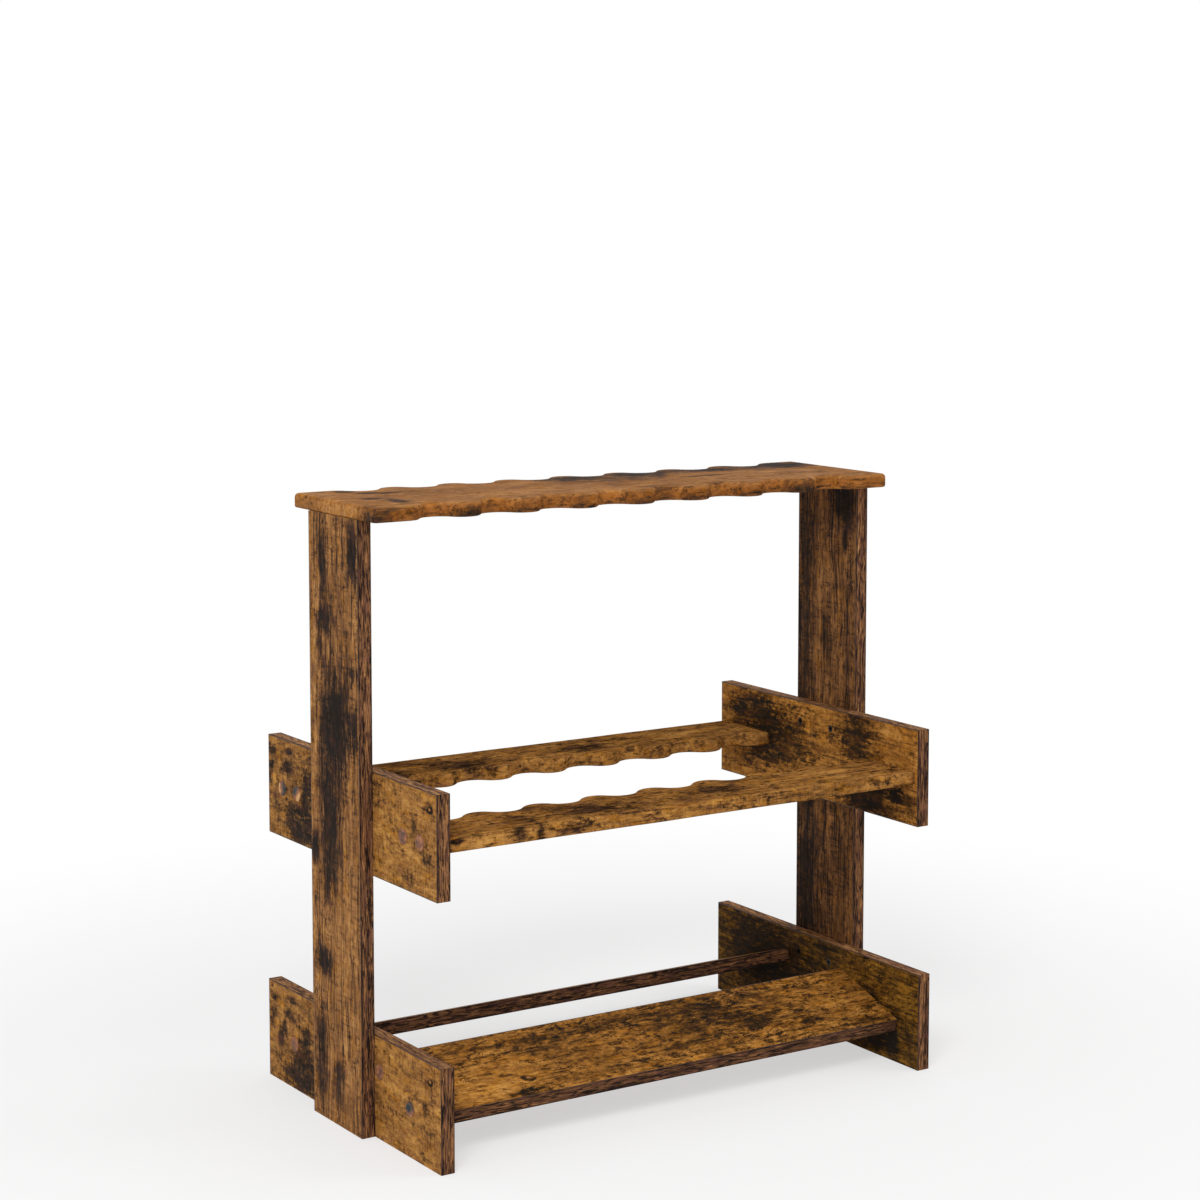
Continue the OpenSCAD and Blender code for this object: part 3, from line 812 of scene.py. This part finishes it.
# Shade low on each crest of the front edge
crestShade = {"first": -214, "step": 70, "y": -86, "z": -7, "size": (34, 12, 6), "dark": 0.2}
for crest in range(waveLook["rods"] - 1):
    at = (crest * crestShade["step"] + crestShade["first"], crestShade["y"], crestShade["z"])
    topLook["smears"].append((at, crestShade["size"], crestShade["dark"]))

railLook = dict(plankLook, seed=22.0, steps=amberSteps, blush="8A5A44", mottles=0.4, lift=0.07, specks=0.08,
                gloss=(0.4, 0.55), shine=0.0, relief=0.1, notch=16, endPlain=6, cornerRound=0,
                topRound=3.5, bottomRound=2.5, smears=[
    ((-190, -14, 5), (20, 24, 8), 0.3),
    ((-95, -14, 5), (50, 20, 8), 0.38),
    ((-135, 10, 5), (30, 14, 8), 0.2),
    ((55, -2, 5), (32, 18, 8), 0.38),
    ((105, 20, 5), (30, 12, 8), 0.2),
    ((-160, 27, 0), (22, 12, 20), 0.2),
    ((200, 4, 0), (28, 9, 20), -0.25),
])
frontRailMarks = [
    ((-281, -45, 3), (8, 6, 3), 0.6),
    ((-240, -45, 0), (28, 12, 12), -0.12),
    ((-207, -45, 0), (7, 8, 16), 0.38),
    ((-183, -45, -2), (4.5, 8, 14), 0.45),
    ((-147, -45, 2), (17, 5, 5), 0.42),
]
# Two waves of the rails' outer edge, whose turns are radians a metre
waverLook = {"size": 0.5, "inset": 1.2, "slowTurns": 31, "slow": 0.7, "quickTurns": 73, "quick": 0.5,
             "quickStart": 1.0}


def topEdge(x):
    return waveDepth(x, topLook["notch"] * mm)


def railEdge(x):
    return waveDepth(x, railLook["notch"] * mm)


# The rails' outer edge, not quite straight
def plainEdge(x):
    slow = math.sin(x * waverLook["slowTurns"]) * waverLook["slow"]
    quick = math.sin(x * waverLook["quickTurns"] + waverLook["quickStart"]) * waverLook["quick"]
    return waverLook["size"] * mm * (waverLook["inset"] + slow + quick)


low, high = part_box("top_board")
topWood = printedWood("topBoardWood", middleOf("top_board"), grainLong, topLook)
wavyBoard("topBoard", low, high, topEdge, topEdge, topLook, topWood, "top_board", "top_board")
for name, side in (("front", front), ("back", back)):
    node = name + "_middle_rail"
    low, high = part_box(node)
    marks = railLook["smears"] + (frontRailMarks if side == front else [])
    look = dict(railLook, seed=railLook["seed"] + side, smears=marks)
    wood = printedWood(name + "RailWood", middleOf(node), grainLong, look)
    edges = (plainEdge, railEdge) if side == front else (railEdge, plainEdge)
    wavyBoard(name + "MiddleRail", low, high, *edges, look, wood, node, "middle_rail")
print("wavy boards done")

# Fittings. A patch on the caps is its place and size (across, up, through), and how dark it is
capLook = {
    "grain": {"Seed": 31.0, "Streaks": 0.2, "Clouds": 0.1, "Grit": 0.2, "Lines": 0.1, "Hatch": 0.0},
    "steps": [(0.0, "2A3236"), (0.14, "404749"), (0.28, "5C4842"), (0.5, "845D4A"), (0.64, "98634A"),
              (0.78, "AC7A52"), (0.96, "D0A26C")],
    "blotch": 1.2, "rag": 1.0, "gloss": (0.45, 0.6), "shine": 0.06, "bump": 0.2, "relief": 0.05,
    "smears": [
        ((144, 321, 0), (6, 12, 400), 0.65),
        ((154, 323, 0), (7, 12, 400), -0.6),
        ((119, 325, 0), (7, 9, 400), 0.7),
        ((111, 316, 0), (8, 8, 400), -0.6),
        ((-115, 321, 0), (3, 5, 400), 0.35),
        ((-149, 318, 0), (8, 10, 400), -0.25),
        ((-150, 319, 0), (1.5, 9, 400), 0.25),
        ((-146, 326, 0), (3, 4, 400), -0.25),
        ((-124, 50, 0), (9, 8, 400), 0.75),
        ((-128, 43, 0), (8, 5, 400), -0.5),
        ((-62, 68, 0), (10, 10, 400), -0.2),
        ((126, 44, 0), (6, 4, 400), 0.2),
    ],
}
steelLook = {"spangle": 0.9, "fine": 2.5, "gloss": (0.25, 0.45),
             "bright": [(0.2, "8F8E89"), (0.6, "B4B3AD"), (0.9, "CFCEC8")],
             "black": [(0.2, "2B2724"), (0.6, "3D3732"), (0.9, "554C43")]}
dowelLook = {
    "grain": {"Seed": 33.0, "Streaks": 0.2, "Clouds": 0.1, "Grit": 0.1, "Lines": 0.1, "Mottles": 0.05,
              "Cracks": 0.0, "Hatch": 0.0},
    "steps": [(0.2, "B08552"), (0.5, "CDA771"), (0.8, "DDBE8C")],
    "gloss": (0.6, 0.8),
}


def capPlastic():
    material, tree, shader = newMaterial("capPlastic")
    place = boardPlace(tree, (0, 0, 0), grainDeep)
    patch = noise(tree, place, scale=0.11, rough=0.6)["Fac"]
    grain = useGroup(tree, grainGroup, dict(capLook["grain"], Vector=place))
    blotch = calc(tree, "SUBTRACT", patch, 0.5)
    tone = calc(tree, "MULTIPLY_ADD", blotch, capLook["blotch"], grain["Tone"])
    tone = addSmears(tree, tone, place, capLook["smears"], patch, capLook["rag"])
    color = colorSteps(tree, tone, capLook["steps"])
    gloss = scuffedGloss(tree, place, capLook["gloss"])
    finishShader(tree, shader, color, gloss, grain["Height"], capLook["bump"], capLook["relief"])
    shader.inputs["Specular IOR Level"].default_value = capLook["shine"]
    return material


# Plated steel with a faint spangle, in the given tones
def platedSteel(name, steps):
    material, tree, shader = newMaterial(name)
    place = boardPlace(tree, (0, 0, 0), grainLong)
    inputs = {"Vector": place, "Scale": steelLook["spangle"]}
    spangle = addNode(tree, "ShaderNodeTexVoronoi", inputs).outputs["Distance"]
    fine = noise(tree, place, scale=steelLook["fine"])["Fac"]
    tone = calc(tree, "MULTIPLY_ADD", spangle, 0.5, calc(tree, "MULTIPLY", fine, 0.6))
    feed(tree, shader.inputs["Base Color"], colorSteps(tree, tone, steps))
    feed(tree, shader.inputs["Roughness"], spread(tree, fine, 0.3, 0.7, *steelLook["gloss"]))
    shader.inputs["Metallic"].default_value = 1.0
    return material


def dowelBeech():
    material, tree, shader = newMaterial("dowelBeech")
    place = boardPlace(tree, (0, 0, 0), grainUp)
    grain = useGroup(tree, grainGroup, dict(dowelLook["grain"], Vector=place))
    feed(tree, shader.inputs["Base Color"], colorSteps(tree, grain["Tone"], dowelLook["steps"]))
    feed(tree, shader.inputs["Roughness"], spread(tree, grain["Fibre"], 0.3, 0.7, *dowelLook["gloss"]))
    return material


caps = capPlastic()
brightZinc = platedSteel("brightZinc", steelLook["bright"])
blackZinc = platedSteel("blackZinc", steelLook["black"])
for node in ("rail_screw_caps", "shelf_screw_caps"):
    dressNode(node, caps)
for node in ("rail_screws", "shelf_screws"):
    dressNode(node, brightZinc)
for node in ("foot_board_screws", "middle_board_screws"):
    dressNode(node, blackZinc)
dressNode("top_board_dowels", dowelBeech())
print("fittings done")

# Floor, background and light
studioLook = {
    "sky": 0.62, "aim": (0, 0, 0.3),
    "keyPlace": (-1.9, -1.9, 2.5), "keySize": 1.3, "key": 48.0,
    "fillPlace": (2.2, -1.6, 1.8), "fillSize": 1.6, "fill": 14.0,
    "floorSize": 14.0, "floorColor": "F4F4F4", "floorRough": 0.9,
    "fadeFrom": 0.45, "fadeTo": 1.3, "paperWhite": 0.55,   # the paper turns white between these distances
}


# 1 on rays from the camera, a gloss or glass
def seenDirectly(tree):
    path = tree.nodes.new("ShaderNodeLightPath").outputs
    seen = calc(tree, "MAXIMUM", path["Is Camera Ray"], path["Is Glossy Ray"])
    return calc(tree, "MAXIMUM", seen, path["Is Transmission Ray"])


def makeFloor():
    bm = bmesh.new()
    bmesh.ops.create_grid(bm, x_segments=1, y_segments=1, size=studioLook["floorSize"] / 2)
    mesh = bpy.data.meshes.new("floor")
    bm.to_mesh(mesh)
    bm.free()
    floor = bpy.data.objects.new("floor", mesh)
    bpy.context.scene.collection.objects.link(floor)
    material, tree, shader = newMaterial("floorPaper")
    mesh.materials.append(material)
    spot = tree.nodes.new("ShaderNodeTexCoord").outputs["Object"]
    away = vectorLength(tree, stretch(tree, spot, (1, 1, 0)))
    fade = spread(tree, away, studioLook["fadeFrom"], studioLook["fadeTo"], studioLook["paperWhite"], 1.0,
                  kind="SMOOTHSTEP")
    seen = calc(tree, "MULTIPLY", fade, seenDirectly(tree))
    shader.inputs["Base Color"].default_value = paint(studioLook["floorColor"])
    shader.inputs["Roughness"].default_value = studioLook["floorRough"]
    shader.inputs["Specular IOR Level"].default_value = 0.0
    glow = addNode(tree, "ShaderNodeEmission", {"Color": (1, 1, 1, 1), "Strength": 1.0})
    mix = addNode(tree, "ShaderNodeMixShader", {0: seen, 1: shader.outputs[0], 2: glow.outputs[0]})
    tree.links.new(mix.outputs[0], tree.nodes["Material Output"].inputs["Surface"])


def makeWorld():
    world = bpy.data.worlds.new("studio")
    world.use_nodes = True
    bpy.context.scene.world = world
    tree = world.node_tree
    seen = seenDirectly(tree)
    light = tree.nodes["Background"]
    light.inputs["Color"].default_value = (1, 1, 1, 1)
    light.inputs["Strength"].default_value = studioLook["sky"]
    white = addNode(tree, "ShaderNodeBackground", {"Color": (1, 1, 1, 1), "Strength": 1.0})
    mix = addNode(tree, "ShaderNodeMixShader", {0: seen, 1: light.outputs[0], 2: white.outputs[0]})
    tree.links.new(mix.outputs[0], tree.nodes["World Output"].inputs["Surface"])


def addLamp(name, place, size, energy):
    lamp = bpy.data.objects.new(name, bpy.data.lights.new(name, "AREA"))
    bpy.context.scene.collection.objects.link(lamp)
    lamp.data.shape = "DISK"
    lamp.data.size = size
    lamp.data.energy = energy
    lamp.location = place
    way = Vector(studioLook["aim"]) - Vector(place)
    lamp.rotation_euler = way.to_track_quat("-Z", "Y").to_euler()


makeFloor()
makeWorld()
addLamp("keyLamp", studioLook["keyPlace"], studioLook["keySize"], studioLook["key"])
addLamp("fillLamp", studioLook["fillPlace"], studioLook["fillSize"], studioLook["fill"])
bpy.context.scene.view_settings.view_transform = "Standard"

# Camera: the photo's own place, with most of its vertical shift turned into a small downward tilt
cameraLook = {"place": (-1.5805, -2.4375, 0.94), "turn": 32.955, "tilt": 5.53, "lens": 82.29,
              "shift": -0.11}
camera = bpy.data.objects.new("camera", bpy.data.cameras.new("camera"))
bpy.context.scene.collection.objects.link(camera)
camera.location = cameraLook["place"]
camera.rotation_euler = (math.radians(90 - cameraLook["tilt"]), 0, math.radians(-cameraLook["turn"]))
camera.data.lens = cameraLook["lens"]
camera.data.shift_y = cameraLook["shift"]
bpy.context.scene.camera = camera
print("studio done")

print("scene done")
